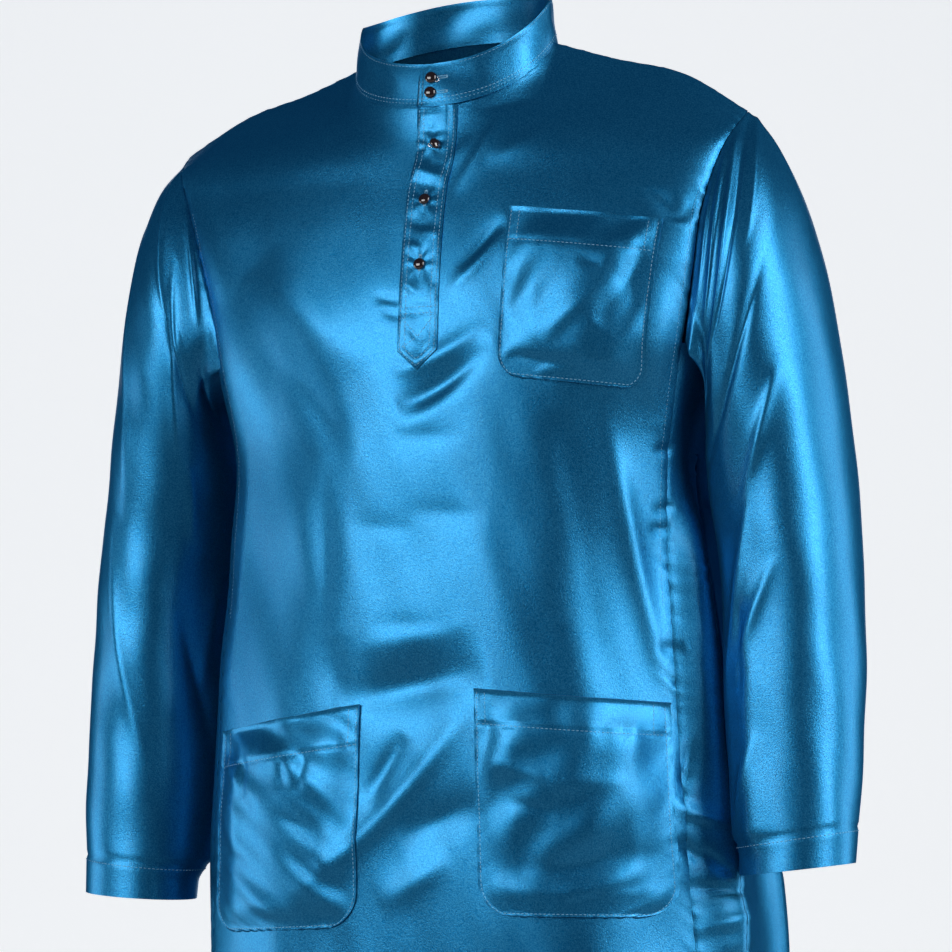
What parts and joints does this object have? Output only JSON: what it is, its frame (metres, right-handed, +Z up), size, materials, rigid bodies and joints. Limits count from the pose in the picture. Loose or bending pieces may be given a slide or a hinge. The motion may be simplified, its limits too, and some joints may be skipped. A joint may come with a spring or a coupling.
{
  "type": "baju melayu tunic",
  "caption": "Long-sleeved satin tunic with a stand collar, a short buttoned placket, patch pockets, underarm gussets and flared side gores, shaped as worn.",
  "frame": {"origin": "middle of the neck opening, level with the points where the shoulder seams meet the collar", "axes": "+X towards the wearer's left, -Y towards the front, +Z up"},
  "size_m": [0.6446, 0.2977, 0.8398],
  "materials": {
    "satin": "smooth crepe-backed satin, blue",
    "stud": "polished, near black"
  },
  "bodies": {
    "root": {"front": "satin", "back": "satin", "gusset_left": "satin", "gore_front_left": "satin", "gore_back_left": "satin", "sleeve_left": "satin", "gusset_right": "satin", "gore_front_right": "satin", "gore_back_right": "satin", "sleeve_right": "satin", "placket": "satin", "pocket_chest": "satin", "pocket_left": "satin", "pocket_right": "satin", "collar": "satin", "stud_1": "stud", "stud_2": "stud", "stud_3": "stud", "stud_4": "stud", "stud_5": "stud"}
  },
  "joints": []
}
